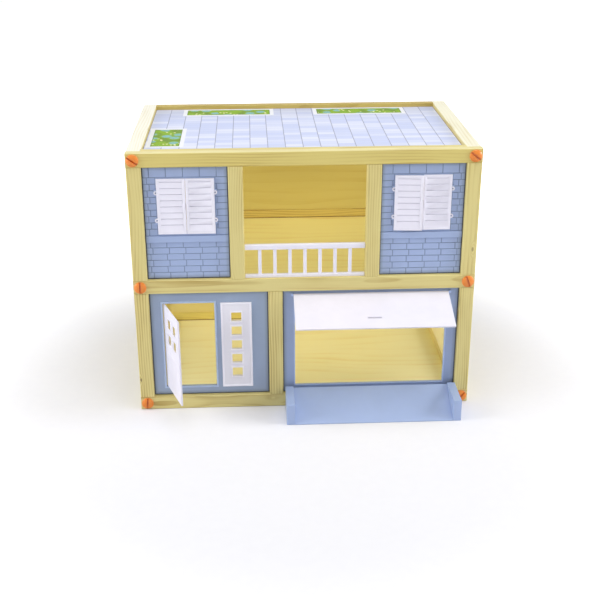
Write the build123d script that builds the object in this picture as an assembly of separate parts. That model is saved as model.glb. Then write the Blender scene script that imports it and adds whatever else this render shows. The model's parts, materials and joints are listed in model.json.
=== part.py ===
from build123d import *
import os

# Two-storey toy house of pine bars, plywood boards and moulded plastic panels.
# Millimetres, +X to the right, +Y to the back, +Z up.
# The origin is the middle of the front bottom rail's underside.

# Wooden house over its frame
house_width = 600.0
house_height = 480.0
house_depth = 375.0

# Front frame
bar_face = 25.0            # width of each bar seen from the front
frame_thick = 15.0         # bars from front to back
mid_rail_height = 240.0    # middle of the rail between the storeys
balcony_width = 210.0      # clear width between the two upper posts
lower_post_x = -52.5       # middle of the post between door and garage
bar_ease = 1.0             # chamfer on the long edges

# Trays: the base, the upper floor and the roof
side_bar_width = 25.0
tray_height = 34.0
front_rail_thick = 12.0
back_rail_thick = 15.0
board_thick = 5.0
floor_rise = 17.0          # top of a floor board above the underside of its tray
roof_recess = 7.5          # top of the roof print below the top of the roof bars
print_thick = 0.4
print_margin = 0.5         # bare edge round the roof print
groove_wall = 2.0          # wood between a board's groove and a screw
groove_play = 0.2          # play of a board or tongue in its groove

# Back wall
back_panel_thick = 4.0
back_panel_recess = 4.0    # behind the inner faces of the back rails

# Dowels and screws
dowel_radius = 4.0
dowel_flutes = 6           # flats on a dowel
dowel_wall = 1.5           # wood between a dowel's end and a screw
dowel_in_post = 14.0
dowel_play = 0.02
screw_edge = 12.0          # screws from the side of the house
screw_head_radius = 10.5
screw_rim = 2.2            # straight edge of the head
screw_crown = 3.0          # rise of the head in front of its edge
screw_crown_radius = 6.0   # flat middle of the head
screw_slot_width = 3.0
screw_slot_depth = 2.6
screw_shank_radius = 5.0
screw_length = 45.0
screw_play = 0.1
screw_turns = {
    ("left", "base"): 85.0,
    ("left", "mid"): 90.0,
    ("left", "roof"): -35.0,
    ("right", "base"): 50.0,
    ("right", "mid"): 110.0,
    ("right", "roof"): -38.0,
}

# Plastic panels in the bays of the front frame
panel_recess = 8.0         # behind the face of the frame
panel_thick = 5.0
panel_edge_gap = 0.8
tongue_thick = 2.6
tongue_depth = 3.5
bead_width = 2.5           # raised edge round a doorway
bead_rise = 0.8
cut_past = 1.0             # how far a through cut runs past both faces

# Windows and shutters in the upper bays
window_width = 90.0
window_height = 90.0
window_drop = 25.0         # top of the window below the top rail
sill_height = 12.0
sill_drop = 8.0            # top of the sill below the window
sill_rise = 2.5
leaf_overlap = 4.0         # shutters past the window on each side
leaf_thick = 3.0
leaf_meeting_gap = 0.8     # between the two leaves of a window
leaf_front_gap = 0.8       # between a closed leaf and its panel
leaf_corner = 0.8
louvre_count = 8
louvre_depth = 1.3
louvre_margin = 5.5        # plain leaf above and below the louvres
louvre_border = 6.5        # plain leaf beside the louvres
latch_width = 3.0
latch_height = 11.0
latch_rise = 1.0
shutter_open = 5.0         # right window's inner leaf stands this far open, degrees

# Brick relief of the upper panels
brick_pitch = 28.4         # length of a brick with its joint
course_pitch = 11.4        # height of a brick with its joint
first_joint = 12.0         # first upright joint from the stile
bond_shift = 4.0           # joints of every other course nearer to the stile
mortar_width = 1.2
mortar_depth = 0.8
brick_clearance = 1.5      # plain face beside the sill and the shutter hinges

# Shutter hinges: pins moulded on the leaves, snapped into seats on the panels
hinge_pin_radius = 0.8
hinge_pin_play = 0.06
hinge_snap = 0.05          # lips of a seat over its pin, each side
hinge_spacing = 49.0       # between the two hinges of a leaf
hinge_edge = 2.4           # from the pin's axis to the edge of the leaf
lug_thick = 3.6
lug_height = 7.0
nose_chamfer = 0.9         # eased corners round a hinge axis
ear_height = 2.2
ear_gap = 0.3              # between a lug and the ear over its pin

# Front door and its side window
door_margin = 23.0         # doorway from the left stile
door_mullion = 11.0        # panel between the doorway and the side window
door_sill = 17.0           # doorway above the bottom rail
door_head = 21.5           # doorway below the middle rail
door_gap = 1.8             # round the closed leaf
door_thick = 3.0
door_proud = 0.5           # closed leaf in front of the panel
door_barrel_radius = 1.75
door_pin_radius = 1.2
door_pin_length = 4.0      # in the panel
door_pin_play = 0.06
door_open = 70.0           # degrees open at rest
pane_width = 18.0
pane_height = 17.5
door_pane_gap_x = 12.0
door_pane_pitch = 30.0
door_pane_top = 19.0       # first row below the top of the leaf
door_field_margin = 14.0   # round the raised field in the lower half of the leaf
door_field_drop = 18.7     # field below the lower panes
door_field_rise = 0.7
sidelight_margin = 30.0    # side window from the post
sidelight_width = 55.0
sidelight_sill = 15.0      # side window above the bottom rail
sidelight_thick = 2.4
sidelight_border = 3.0
sidelight_rise = 0.8
sidelight_pane_count = 5
sidelight_pane_top = 19.0  # first pane below the top of the plate
sidelight_pane_foot = 20.7 # last pane above the foot of the plate
spigot_wall = 2.5          # wall of the spigot round the panes
spigot_depth = 4.0
spigot_play = 0.3

# Garage door and ramp
garage_jamb_left = 22.0
garage_jamb_right = 22.0
garage_sill = 14.0         # opening above the bottom rail
garage_head = 8.5          # opening below the middle rail
flap_overlap = 2.5         # past the opening on each side
flap_length = 90.0         # from the hinge axis to the lower edge
flap_thick = 3.0
flap_gap = 1.0             # between the closed flap and its panel
flap_barrel_radius = 1.9
flap_pin_radius = 1.3
flap_pin_length = 3.6
flap_pin_play = 0.06
flap_ear_radius = 2.4
flap_ear_width = 4.0
flap_end_gap = 0.4
flap_open = 70.0           # degrees open at rest
flap_slit_length = 24.0
flap_slit_height = 3.0
flap_slit_drop = 65.0      # slit below the hinge axis
ramp_past = 20.5           # ramp past the opening on each side
ramp_shift = 2.2           # middle of the ramp right of the middle of the opening
ramp_depth = 72.0
curb_width = 14.5
curb_rise = 3.0            # curbs above the top of the ramp
ramp_drop = 2.0            # top of the ramp below the opening
ramp_toe = 1.5
ramp_wall = 3.5
ramp_hook_depth = 6.0
ramp_hook_height = 5.0

# Balcony railing
railing_height = 61.5      # top of the handrail above the middle rail
handrail_height = 10.0
handrail_depth = 8.0
railing_foot_height = 6.0
railing_foot_depth = 7.0
railing_setback = 4.0      # railing behind the face of the frame
railing_end_gap = 0.4
baluster_count = 7
baluster_width = 6.0
baluster_depth = 5.0
railing_peg = 4.0          # side of the square pegs in the ends of the handrail
railing_peg_length = 5.0
railing_peg_play = 0.05
railing_ease = 1.0         # chamfer on the handrail's long edges

# Places that follow from the sizes above
half_width = house_width / 2
board_groove = side_bar_width - screw_edge - screw_shank_radius - groove_wall
dowel_in_rail = bar_face / 2 - screw_shank_radius - dowel_wall
inner_x = half_width - bar_face
post_x = balcony_width / 2 + bar_face / 2
frame_y = (-frame_thick / 2, frame_thick / 2)
back_y = frame_y[0] + house_depth
rail_z = {
    "base": (0.0, bar_face),
    "mid": (mid_rail_height - bar_face / 2, mid_rail_height + bar_face / 2),
    "roof": (house_height - bar_face, house_height),
}
tray_bottom = {"base": 0.0, "mid": rail_z["mid"][0], "roof": house_height - tray_height}
lower_z = (rail_z["base"][1], rail_z["mid"][0])
upper_z = (rail_z["mid"][1], rail_z["roof"][0])
side_x = {
    "left": (-half_width, side_bar_width - half_width),
    "right": (half_width - side_bar_width, half_width),
}
room_x = (side_x["left"][1], side_x["right"][0])
front_rail_y = (frame_y[1], frame_y[1] + front_rail_thick)
back_rail_y = (back_y - back_rail_thick, back_y)
panel_y = (frame_y[0] + panel_recess, frame_y[0] + panel_recess + panel_thick)
tongue_y = (sum(panel_y) / 2 - tongue_thick / 2, sum(panel_y) / 2 + tongue_thick / 2)
bays = {
    "brick_panel_left": ((-inner_x, -post_x - bar_face / 2), upper_z),
    "brick_panel_right": ((post_x + bar_face / 2, inner_x), upper_z),
    "door_panel": ((-inner_x, lower_post_x - bar_face / 2), lower_z),
    "garage_panel": ((lower_post_x + bar_face / 2, inner_x), lower_z),
}
uprights = {
    "front_stile_lower_left": (-half_width + bar_face / 2, lower_z),
    "front_stile_lower_right": (half_width - bar_face / 2, lower_z),
    "front_post_lower": (lower_post_x, lower_z),
    "front_stile_upper_left": (-half_width + bar_face / 2, upper_z),
    "front_stile_upper_right": (half_width - bar_face / 2, upper_z),
    "front_post_upper_left": (-post_x, upper_z),
    "front_post_upper_right": (post_x, upper_z),
}
window_middle = upper_z[1] - window_drop - window_height / 2
window_z = (window_middle - window_height / 2, window_middle + window_height / 2)
sill_z = (window_z[0] - sill_drop - sill_height, window_z[0] - sill_drop)
shutters_width = window_width + 2 * leaf_overlap
leaf_height = window_height + 2 * leaf_overlap
leaf_width = (shutters_width - leaf_meeting_gap) / 2
louvre_pitch = (leaf_height - 2 * louvre_margin) / louvre_count
shutter_axis_y = panel_y[0] - leaf_front_gap - leaf_thick / 2
shutter_axis_offset = shutters_width / 2 + hinge_edge
sidelight_right = bays["door_panel"][0][1] - sidelight_margin
sidelight_x = (sidelight_right - sidelight_width, sidelight_right)
door_x = (bays["door_panel"][0][0] + door_margin, sidelight_x[0] - door_mullion)
door_z = (lower_z[0] + door_sill, lower_z[1] - door_head)
door_axis_x = door_x[0] + door_gap + door_barrel_radius / 2
door_axis_y = panel_y[0] - door_proud + door_thick / 2
sidelight_z = (lower_z[0] + sidelight_sill, door_z[1])
garage_bay = bays["garage_panel"][0]
garage_x = (garage_bay[0] + garage_jamb_left, garage_bay[1] - garage_jamb_right)
garage_z = (lower_z[0] + garage_sill, lower_z[1] - garage_head)
flap_axis_y = panel_y[0] - flap_gap - flap_thick / 2
flap_axis_z = garage_z[1]
flap_x = (garage_x[0] - flap_overlap, garage_x[1] + flap_overlap)
railing_y = frame_y[0] + railing_setback + handrail_depth / 2
handrail_z = (upper_z[0] + railing_height - handrail_height, upper_z[0] + railing_height)
baluster_pitch = balcony_width / (baluster_count + 1)
ramp_top = garage_z[0] - ramp_drop


def grown(span, amount):
    return (span[0] - amount, span[1] + amount)


def block(x, y, z):
    """A box between three pairs of low and high places."""
    spans = (x, y, z)
    middle = [(low + high) / 2 for low, high in spans]
    return Pos(*middle) * Box(*[high - low for low, high in spans])


def bar(x, y, z):
    """A pine bar whose four long edges are eased."""
    runs = [(x[1] - x[0], Axis.X), (y[1] - y[0], Axis.Y), (z[1] - z[0], Axis.Z)]
    long_axis = max(runs, key=lambda run: run[0])[1]
    solid = block(x, y, z)
    return chamfer(solid.edges().filter_by(long_axis), bar_ease)


def rod_x(x, y, z, radius):
    return Pos(sum(x) / 2, y, z) * Rot(0, 90, 0) * Cylinder(radius, x[1] - x[0])


def rod_y(x, y, z, radius):
    return Pos(x, sum(y) / 2, z) * Rot(90, 0, 0) * Cylinder(radius, y[1] - y[0])


def rod_z(x, y, z, radius):
    return Pos(x, y, sum(z) / 2) * Cylinder(radius, z[1] - z[0])


def group(solids):
    return Compound(children=[solid for solid in solids])


# Grooves and bores shared by the wooden pieces

def panel_grooves():
    reach = tongue_depth + groove_play
    return [block(grown(x, reach), grown(tongue_y, groove_play), grown(z, reach)) for x, z in bays.values()]


def board_span(level):
    """Width, depth and height of the board in a tray."""
    x = grown(room_x, board_groove - groove_play)
    y = grown((front_rail_y[1], back_rail_y[0]), board_groove - groove_play)
    if level == "roof":
        top = house_height - roof_recess - print_thick
    else:
        top = tray_bottom[level] + floor_rise
    return x, y, (top - board_thick, top)


def board_groove_cut(level):
    x, y, z = board_span(level)
    return block(grown(x, groove_play), grown(y, groove_play), grown(z, groove_play))


def back_panel_span(storey):
    low, high = ("base", "mid") if storey == "lower" else ("mid", "roof")
    depth = board_groove - groove_play
    y = back_rail_y[0] + back_panel_recess
    z = (tray_bottom[low] + tray_height, tray_bottom[high])
    return grown(room_x, depth), (y, y + back_panel_thick), grown(z, depth)


def back_panel_cut(storey):
    return block(*[grown(span, groove_play) for span in back_panel_span(storey)])


def post_span(storey):
    low, high = ("base", "mid") if storey == "lower" else ("mid", "roof")
    return (tray_bottom[low] + tray_height, tray_bottom[high])


def dowels_at(x, y, z, play=0.0):
    """The two fluted dowels in the ends of an upright."""
    section = RegularPolygon(dowel_radius + play, dowel_flutes)
    length = dowel_in_rail + dowel_in_post + 2 * play
    feet = (z[0] - dowel_in_rail - play, z[1] - dowel_in_post - play)
    return [Pos(x, y, foot) * extrude(section, length) for foot in feet]


def frame_dowels(play=0.0):
    return [dowel for x, z in uprights.values() for dowel in dowels_at(x, 0.0, z, play)]


def post_dowels(play=0.0):
    places = [(sum(side_x[side]) / 2, post_span(storey)) for side in side_x for storey in ("lower", "upper")]
    return [dowel for x, z in places for dowel in dowels_at(x, sum(back_rail_y) / 2, z, play)]


def screw_places():
    """Side, tray, x and height of each screw."""
    sides = (("left", screw_edge - half_width), ("right", half_width - screw_edge))
    return [(side, level, x, sum(rail_z[level]) / 2) for side, x in sides for level in rail_z]


def screw_bores():
    y = (frame_y[0], frame_y[0] + screw_length + screw_play)
    return [rod_y(x, y, z, screw_shank_radius + screw_play) for _, _, x, z in screw_places()]


# Front frame

def front_rail(level):
    rail = bar((-half_width, half_width), frame_y, rail_z[level])
    return rail - panel_grooves() - screw_bores() - frame_dowels(dowel_play)


def front_upright(x, z):
    upright = bar((x - bar_face / 2, x + bar_face / 2), frame_y, z)
    return upright - panel_grooves() - frame_dowels(dowel_play) - railing_pegs(railing_peg_play)


# Trays and back wall

def side_bar(side, level):
    z = (tray_bottom[level], tray_bottom[level] + tray_height)
    solid = bar(side_x[side], (frame_y[1], back_y), z)
    panels = [back_panel_cut("lower"), back_panel_cut("upper")]
    return solid - [board_groove_cut(level)] - panels - screw_bores() - post_dowels(dowel_play)


def tray_front_rail(level):
    return bar(room_x, front_rail_y, rail_z[level]) - board_groove_cut(level)


def tray_back_rail(level):
    rail = bar(room_x, back_rail_y, (tray_bottom[level], tray_bottom[level] + tray_height))
    return rail - [board_groove_cut(level), back_panel_cut("lower"), back_panel_cut("upper")]


def roof_print():
    top = board_span("roof")[2][1]
    y = (front_rail_y[1], back_rail_y[0])
    return block(grown(room_x, -print_margin), grown(y, -print_margin), (top, top + print_thick))


def back_post(side, storey):
    post = bar(side_x[side], back_rail_y, post_span(storey))
    return post - [back_panel_cut(storey)] - post_dowels(dowel_play)


# Screws

def screw(turn):
    """A slotted screw along +Y, its head's seat at the origin."""
    rim = rod_y(0, (-screw_rim, 0), 0, screw_head_radius)
    cone = Cone(screw_head_radius, screw_crown_radius, screw_crown)
    crown = Pos(0, -screw_rim - screw_crown / 2, 0) * Rot(90, 0, 0) * cone
    shank = rod_y(0, (0, screw_length), 0, screw_shank_radius)
    face = -screw_rim - screw_crown
    wide = (-screw_head_radius - cut_past, screw_head_radius + cut_past)
    slot = block(wide, (face, face + screw_slot_depth), (-screw_slot_width / 2, screw_slot_width / 2))
    return Rot(0, -turn, 0) * (rim + crown + shank - slot)


def screws():
    placed = []
    for side, level, x, z in screw_places():
        placed.append(Pos(x, frame_y[0], z) * screw(screw_turns[side, level]))
    return group(placed)


# Panels

def panel_body(bay):
    """A panel with its tongue in the grooves of the bay."""
    x, z = bay
    face = block(grown(x, -panel_edge_gap), panel_y, grown(z, -panel_edge_gap))
    return face + block(grown(x, tongue_depth), tongue_y, grown(z, tongue_depth))


def bead(x, z):
    """A raised edge round an opening in a panel."""
    y = (panel_y[0] - bead_rise, panel_y[0])
    return block(grown(x, bead_width), y, grown(z, bead_width)) - block(x, y, z)


def shutter_ears(axis_x):
    """Ears on the panel, over the upper pin and under the lower pin, with seats open to the front."""
    ears = []
    near = hinge_spacing / 2 + lug_height / 2 + ear_gap
    front = shutter_axis_y - lug_thick / 2
    axis = (axis_x, axis_x)
    seat_y = grown((shutter_axis_y, shutter_axis_y), hinge_pin_radius + hinge_pin_play)
    for low in (-near - ear_height, near):
        z = (window_middle + low, window_middle + low + ear_height)
        ear = block(grown(axis, lug_thick / 2), (front, panel_y[0]), z)
        ear = chamfer(ear.edges().filter_by(Axis.Z).group_by(Axis.Y)[0], nose_chamfer)
        ear -= block(grown(axis, hinge_pin_radius + hinge_pin_play), seat_y, z)
        ear -= block(grown(axis, hinge_pin_radius - hinge_snap), (front, shutter_axis_y), z)
        ears.append(ear)
    return ears


def window_x(bay):
    return (sum(bay[0]) / 2 - window_width / 2, sum(bay[0]) / 2 + window_width / 2)


def shutter_axes(bay):
    middle = sum(bay[0]) / 2
    return (middle - shutter_axis_offset, middle + shutter_axis_offset)


def brick_fields(bay):
    """Faces of a panel that carry bricks: below the sill, above the window and beside the shutters."""
    x = grown(bay[0], -panel_edge_gap)
    z = grown(bay[1], -panel_edge_gap)
    courses_below = (window_z[1] + leaf_overlap - z[0]) // course_pitch + 1
    head = z[0] + courses_below * course_pitch
    axes = shutter_axes(bay)
    beside = lug_thick / 2 + brick_clearance
    column_z = (sill_z[1] + brick_clearance, head)
    return [
        (x, (z[0], sill_z[0] - brick_clearance)),
        (x, (head, z[1])),
        ((x[0], axes[0] - beside), column_z),
        ((axes[1] + beside, x[1]), column_z),
    ]


def mortar_joints(bay):
    """Grooves between the bricks, on one grid that starts at the stile and at the foot of the panel."""
    x = grown(bay[0], -panel_edge_gap)
    z = grown(bay[1], -panel_edge_gap)
    y = (panel_y[0], panel_y[0] + mortar_depth)
    stile, inward = (bay[0][0], 1) if sum(bay[0]) < 0 else (bay[0][1], -1)
    cuts = []
    for field_x, field_z in brick_fields(bay):
        for course in range(int((z[1] - z[0]) / course_pitch) + 1):
            bed = z[0] + course * course_pitch
            if course > 0 and field_z[0] <= bed < field_z[1]:
                cuts.append(block(field_x, y, grown((bed, bed), mortar_width / 2)))
            rise = (max(bed, field_z[0]), min(bed + course_pitch, field_z[1]))
            for brick in range(int((x[1] - x[0]) / brick_pitch) + 1):
                joint = stile + inward * (first_joint + brick * brick_pitch - course % 2 * bond_shift)
                if rise[0] < rise[1] and field_x[0] < joint < field_x[1]:
                    cuts.append(block(grown((joint, joint), mortar_width / 2), y, rise))
    return cuts


def brick_panel(bay):
    panel = panel_body(bay) - [block(window_x(bay), grown(panel_y, cut_past), window_z)] - mortar_joints(bay)
    panel += block(grown(bay[0], -panel_edge_gap), (panel_y[0] - sill_rise, panel_y[0]), sill_z)
    for axis_x in shutter_axes(bay):
        panel += shutter_ears(axis_x)
    return panel


def door_pin_bores():
    radius = door_pin_radius + door_pin_play
    low = (door_z[0] - door_pin_length, door_z[0])
    high = (door_z[1], door_z[1] + door_pin_length)
    return [rod_z(door_axis_x, door_axis_y, z, radius) for z in (low, high)]


def sidelight_panes():
    """Places of the panes, as pairs of spans."""
    x = grown((sum(sidelight_x) / 2, sum(sidelight_x) / 2), pane_width / 2)
    low = sidelight_z[0] + sidelight_pane_foot
    high = sidelight_z[1] - sidelight_pane_top - pane_height
    pitch = (high - low) / (sidelight_pane_count - 1)
    feet = [low + row * pitch for row in range(sidelight_pane_count)]
    return [(x, (foot, foot + pane_height)) for foot in feet]


def spigot_span():
    panes = sidelight_panes()
    return grown(panes[0][0], spigot_wall), grown((panes[0][1][0], panes[-1][1][1]), spigot_wall)


def door_panel(bay):
    through = grown(panel_y, cut_past)
    slot_x, slot_z = spigot_span()
    slot = block(grown(slot_x, spigot_play), through, grown(slot_z, spigot_play))
    panel = panel_body(bay) + bead(door_x, door_z)
    return panel - [block(door_x, through, door_z), slot] - door_pin_bores()


def garage_panel(bay):
    panel = panel_body(bay) - block(garage_x, grown(panel_y, cut_past), garage_z)
    ears = []
    for side, end in ((-1, flap_x[0]), (1, flap_x[1])):
        near = end + side * flap_end_gap
        ear_x = sorted((near, near + side * flap_ear_width))
        ear_y = (flap_axis_y - flap_ear_radius, panel_y[0])
        ear = block(ear_x, ear_y, grown((flap_axis_z, flap_axis_z), flap_ear_radius))
        ear = chamfer(ear.edges().filter_by(Axis.X).group_by(Axis.Y)[0], nose_chamfer)
        ears.append(ear - rod_x(ear_x, flap_axis_y, flap_axis_z, flap_pin_radius + flap_pin_play))
    return panel + ears


# Moving leaves, each made about its hinge axis

def louvre_cuts(x):
    """Wedges that leave sloping slats, deepest at the top of each."""
    front = -leaf_thick / 2
    cuts = []
    for row in range(louvre_count):
        top = leaf_height / 2 - louvre_margin - row * louvre_pitch
        wedge = Polyline((front, top), (front + louvre_depth, top), (front, top - louvre_pitch), close=True)
        cuts.append(extrude(Plane.YZ.offset(x[0]) * make_face(wedge), x[1] - x[0]))
    return cuts


def shutter_lug(end):
    """The upper (1) or lower (-1) lug of a leaf, with a moulded pin that points past its end."""
    half = lug_thick / 2
    middle = end * hinge_spacing / 2
    tip = middle + end * (lug_height / 2 + ear_gap + ear_height)
    nose = block((-half, hinge_edge + half), (-half, half), grown((middle, middle), lug_height / 2))
    nose = chamfer(nose.edges().group_by(Axis.X)[0], nose_chamfer)
    return nose + rod_z(0, 0, sorted((middle, tip)), hinge_pin_radius)


def shutter_leaf():
    x = (hinge_edge, hinge_edge + leaf_width)
    y = (-leaf_thick / 2, leaf_thick / 2)
    plate = block(x, y, (-leaf_height / 2, leaf_height / 2))
    plate = chamfer(plate.edges().filter_by(Axis.Y), leaf_corner)
    plate -= louvre_cuts(grown(x, -louvre_border))
    latch_x = (x[1] - latch_width - leaf_corner, x[1] - leaf_corner)
    latch = block(latch_x, (y[0] - latch_rise, y[0]), (-latch_height / 2, latch_height / 2))
    return plate + latch + [shutter_lug(end) for end in (-1, 1)]


def placed_shutter(axis_x, side, angle):
    leaf = shutter_leaf()
    if side == "right":
        leaf = mirror(leaf, Plane.YZ)
        angle = -angle
    return Pos(axis_x, shutter_axis_y, window_middle) * Rot(0, 0, -angle) * leaf


def door_leaf():
    width = door_x[1] - door_gap - door_axis_x
    half = door_thick / 2
    z = grown(door_z, -door_gap)
    leaf = block((0, width), (-half, half), z) + rod_z(0, 0, z, door_barrel_radius)
    pane_side = (width - 2 * pane_width - door_pane_gap_x) / 2
    for left in (pane_side, pane_side + pane_width + door_pane_gap_x):
        for top in (z[1] - door_pane_top, z[1] - door_pane_top - door_pane_pitch):
            leaf -= block((left, left + pane_width), (-half, half), (top - pane_height, top))
    field_x = (door_field_margin, width - door_field_margin)
    lower_panes = z[1] - door_pane_top - door_pane_pitch - pane_height
    field_z = (z[0] + door_field_margin, lower_panes - door_field_drop)
    leaf += block(field_x, (-half - door_field_rise, -half), field_z)
    for pin in ((z[0] - door_gap - door_pin_length + door_pin_play, z[0]),
                (z[1], z[1] + door_gap + door_pin_length - door_pin_play)):
        leaf += rod_z(0, 0, pin, door_pin_radius)
    return Pos(door_axis_x, door_axis_y, 0) * Rot(0, 0, -door_open) * leaf


def garage_flap():
    half = flap_thick / 2
    flap = block(flap_x, (-half, half), (-flap_length, 0)) + rod_x(flap_x, 0, 0, flap_barrel_radius)
    slit_x = grown((sum(flap_x) / 2, sum(flap_x) / 2), flap_slit_length / 2)
    slit_z = grown((-flap_slit_drop, -flap_slit_drop), flap_slit_height / 2)
    flap -= block(slit_x, (-half, half), slit_z)
    pins = grown(flap_x, flap_end_gap + flap_pin_length)
    flap += rod_x((pins[0], flap_x[0]), 0, 0, flap_pin_radius)
    flap += rod_x((flap_x[1], pins[1]), 0, 0, flap_pin_radius)
    return Pos(0, flap_axis_y, flap_axis_z) * Rot(-flap_open, 0, 0) * flap


# Fixed plastic pieces

def sidelight():
    front = panel_y[0] - sidelight_thick
    plate = block(sidelight_x, (front, panel_y[0]), sidelight_z)
    rise_y = (front - sidelight_rise, front)
    inside = block(grown(sidelight_x, -sidelight_border), rise_y, grown(sidelight_z, -sidelight_border))
    plate += block(sidelight_x, rise_y, sidelight_z) - inside
    slot_x, slot_z = spigot_span()
    plate += block(slot_x, (panel_y[0], panel_y[0] + spigot_depth), slot_z)
    for pane_x, pane_z in sidelight_panes():
        rim = block(grown(pane_x, spigot_wall), rise_y, grown(pane_z, spigot_wall))
        plate = plate + rim - block(pane_x, (rise_y[0], panel_y[0] + spigot_depth), pane_z)
    return plate


def railing_pegs(play=0.0):
    """Pegs in the ends of the handrail, which sit in the posts."""
    near = balcony_width / 2 - railing_end_gap
    far = balcony_width / 2 + railing_peg_length + play
    middle = sum(handrail_z) / 2
    y = grown((railing_y, railing_y), railing_peg / 2 + play)
    z = grown((middle, middle), railing_peg / 2 + play)
    return [block(x, y, z) for x in ((-far, -near), (near, far))]


def balcony_railing():
    x = grown((-balcony_width / 2, balcony_width / 2), -railing_end_gap)
    rail_y = grown((railing_y, railing_y), handrail_depth / 2)
    handrail = block(x, rail_y, handrail_z)
    railing = chamfer(handrail.edges().filter_by(Axis.X), railing_ease)
    foot_z = (upper_z[0], upper_z[0] + railing_foot_height)
    railing += block(x, grown((railing_y, railing_y), railing_foot_depth / 2), foot_z)
    for index in range(baluster_count):
        middle = (index - (baluster_count - 1) / 2) * baluster_pitch
        baluster_x = grown((middle, middle), baluster_width / 2)
        baluster_y = grown((railing_y, railing_y), baluster_depth / 2)
        railing += block(baluster_x, baluster_y, (foot_z[1], handrail_z[0]))
    return railing + railing_pegs()


def garage_ramp():
    """A moulded ramp between two curbs, hooked on the ledge of the bottom rail."""
    x = (garage_x[0] - ramp_past + ramp_shift, garage_x[1] + ramp_past + ramp_shift)
    back = frame_y[0]
    front = back - ramp_depth
    upper = [(front, ramp_toe), (back, ramp_top)]
    under = [(back, ramp_top - ramp_wall), (front + ramp_wall, 0), (front, 0)]
    slope = Polyline(*upper, *under, close=True)
    inside = grown(x, -curb_width)
    ramp = extrude(Plane.YZ.offset(inside[0]) * make_face(slope), inside[1] - inside[0])
    for curb in ((x[0], inside[0]), (inside[1], x[1])):
        ramp += block(curb, (front, back), (0, ramp_top + curb_rise))
    ramp += block(inside, (back - ramp_wall, back), (bar_face - ramp_wall, ramp_top - ramp_wall / 2))
    hook = block(inside, (back, back + ramp_hook_depth), (bar_face, bar_face + ramp_hook_height))
    return ramp + hook


def all_parts():
    frame_rails = {"base": "front_bottom_rail", "mid": "front_middle_rail", "roof": "front_top_rail"}
    parts = {name: front_rail(level) for level, name in frame_rails.items()}
    parts.update({name: front_upright(x, z) for name, (x, z) in uprights.items()})
    trays = {"base": "base_tray", "mid": "floor_tray", "roof": "roof_tray"}
    for level, name in trays.items():
        for side in side_x:
            parts[f"{name}_{side}_bar"] = side_bar(side, level)
        parts[f"{name}_front_rail"] = tray_front_rail(level)
        parts[f"{name}_back_rail"] = tray_back_rail(level)
        parts[f"{name}_board"] = block(*board_span(level))
    parts["roof_print"] = roof_print()
    for storey in ("lower", "upper"):
        for side in side_x:
            parts[f"back_post_{storey}_{side}"] = back_post(side, storey)
        parts[f"back_panel_{storey}"] = block(*back_panel_span(storey))
    parts["front_screws"] = screws()
    parts["frame_dowels"] = group(frame_dowels())
    parts["back_post_dowels"] = group(post_dowels())
    for name in ("brick_panel_left", "brick_panel_right"):
        parts[name] = brick_panel(bays[name])
    parts["door_panel"] = door_panel(bays["door_panel"])
    parts["garage_panel"] = garage_panel(bays["garage_panel"])
    left_axes = shutter_axes(bays["brick_panel_left"])
    right_axes = shutter_axes(bays["brick_panel_right"])
    parts["shutter_left_outer"] = placed_shutter(left_axes[0], "left", 0.0)
    parts["shutter_left_inner"] = placed_shutter(left_axes[1], "right", 0.0)
    parts["shutter_right_inner"] = placed_shutter(right_axes[0], "left", shutter_open)
    parts["shutter_right_outer"] = placed_shutter(right_axes[1], "right", 0.0)
    parts["door_leaf"] = door_leaf()
    parts["sidelight"] = sidelight()
    parts["garage_flap"] = garage_flap()
    parts["balcony_railing"] = balcony_railing()
    parts["garage_ramp"] = garage_ramp()
    return parts


os.makedirs("parts", exist_ok=True)
for node, shape in all_parts().items():
    export_step(shape, f"parts/{node}.step")
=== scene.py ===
import json
import math
import random

import bmesh
import bpy
from mathutils import Matrix, Vector


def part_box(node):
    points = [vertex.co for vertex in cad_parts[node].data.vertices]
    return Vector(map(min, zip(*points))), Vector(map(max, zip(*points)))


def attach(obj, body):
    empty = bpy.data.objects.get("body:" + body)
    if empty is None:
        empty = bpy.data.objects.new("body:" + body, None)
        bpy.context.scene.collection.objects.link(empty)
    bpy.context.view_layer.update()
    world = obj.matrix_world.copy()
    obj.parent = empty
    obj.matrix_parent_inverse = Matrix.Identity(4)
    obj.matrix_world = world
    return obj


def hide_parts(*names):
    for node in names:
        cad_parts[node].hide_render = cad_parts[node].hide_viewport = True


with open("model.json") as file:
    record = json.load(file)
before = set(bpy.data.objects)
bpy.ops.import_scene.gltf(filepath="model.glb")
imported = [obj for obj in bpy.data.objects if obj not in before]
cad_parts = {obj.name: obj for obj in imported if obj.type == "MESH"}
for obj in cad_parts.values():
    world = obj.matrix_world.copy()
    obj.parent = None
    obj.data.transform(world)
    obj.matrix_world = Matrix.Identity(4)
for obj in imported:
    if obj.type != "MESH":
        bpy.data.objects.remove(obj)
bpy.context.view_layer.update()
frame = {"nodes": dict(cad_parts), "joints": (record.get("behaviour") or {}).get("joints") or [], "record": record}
nodes = frame["nodes"]
low = {name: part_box(name)[0] for name in nodes}
high = {name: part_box(name)[1] for name in nodes}
pivots = {joint["child"]: Vector(joint["pos_m"]) for joint in frame["joints"]}
random.seed(4)

# Camera, fitted to the corners of the front frame
camera_place = Vector((-0.0915, -1.7052, 0.9270))
camera_yaw = math.radians(2.775)  # to the right of straight ahead
camera_pitch = math.radians(22.852)  # below the horizon
camera_roll = math.radians(-0.119)
camera_lens = 62.65  # millimetres, on a sensor 36 mm wide
camera_reach = 50.0

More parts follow.
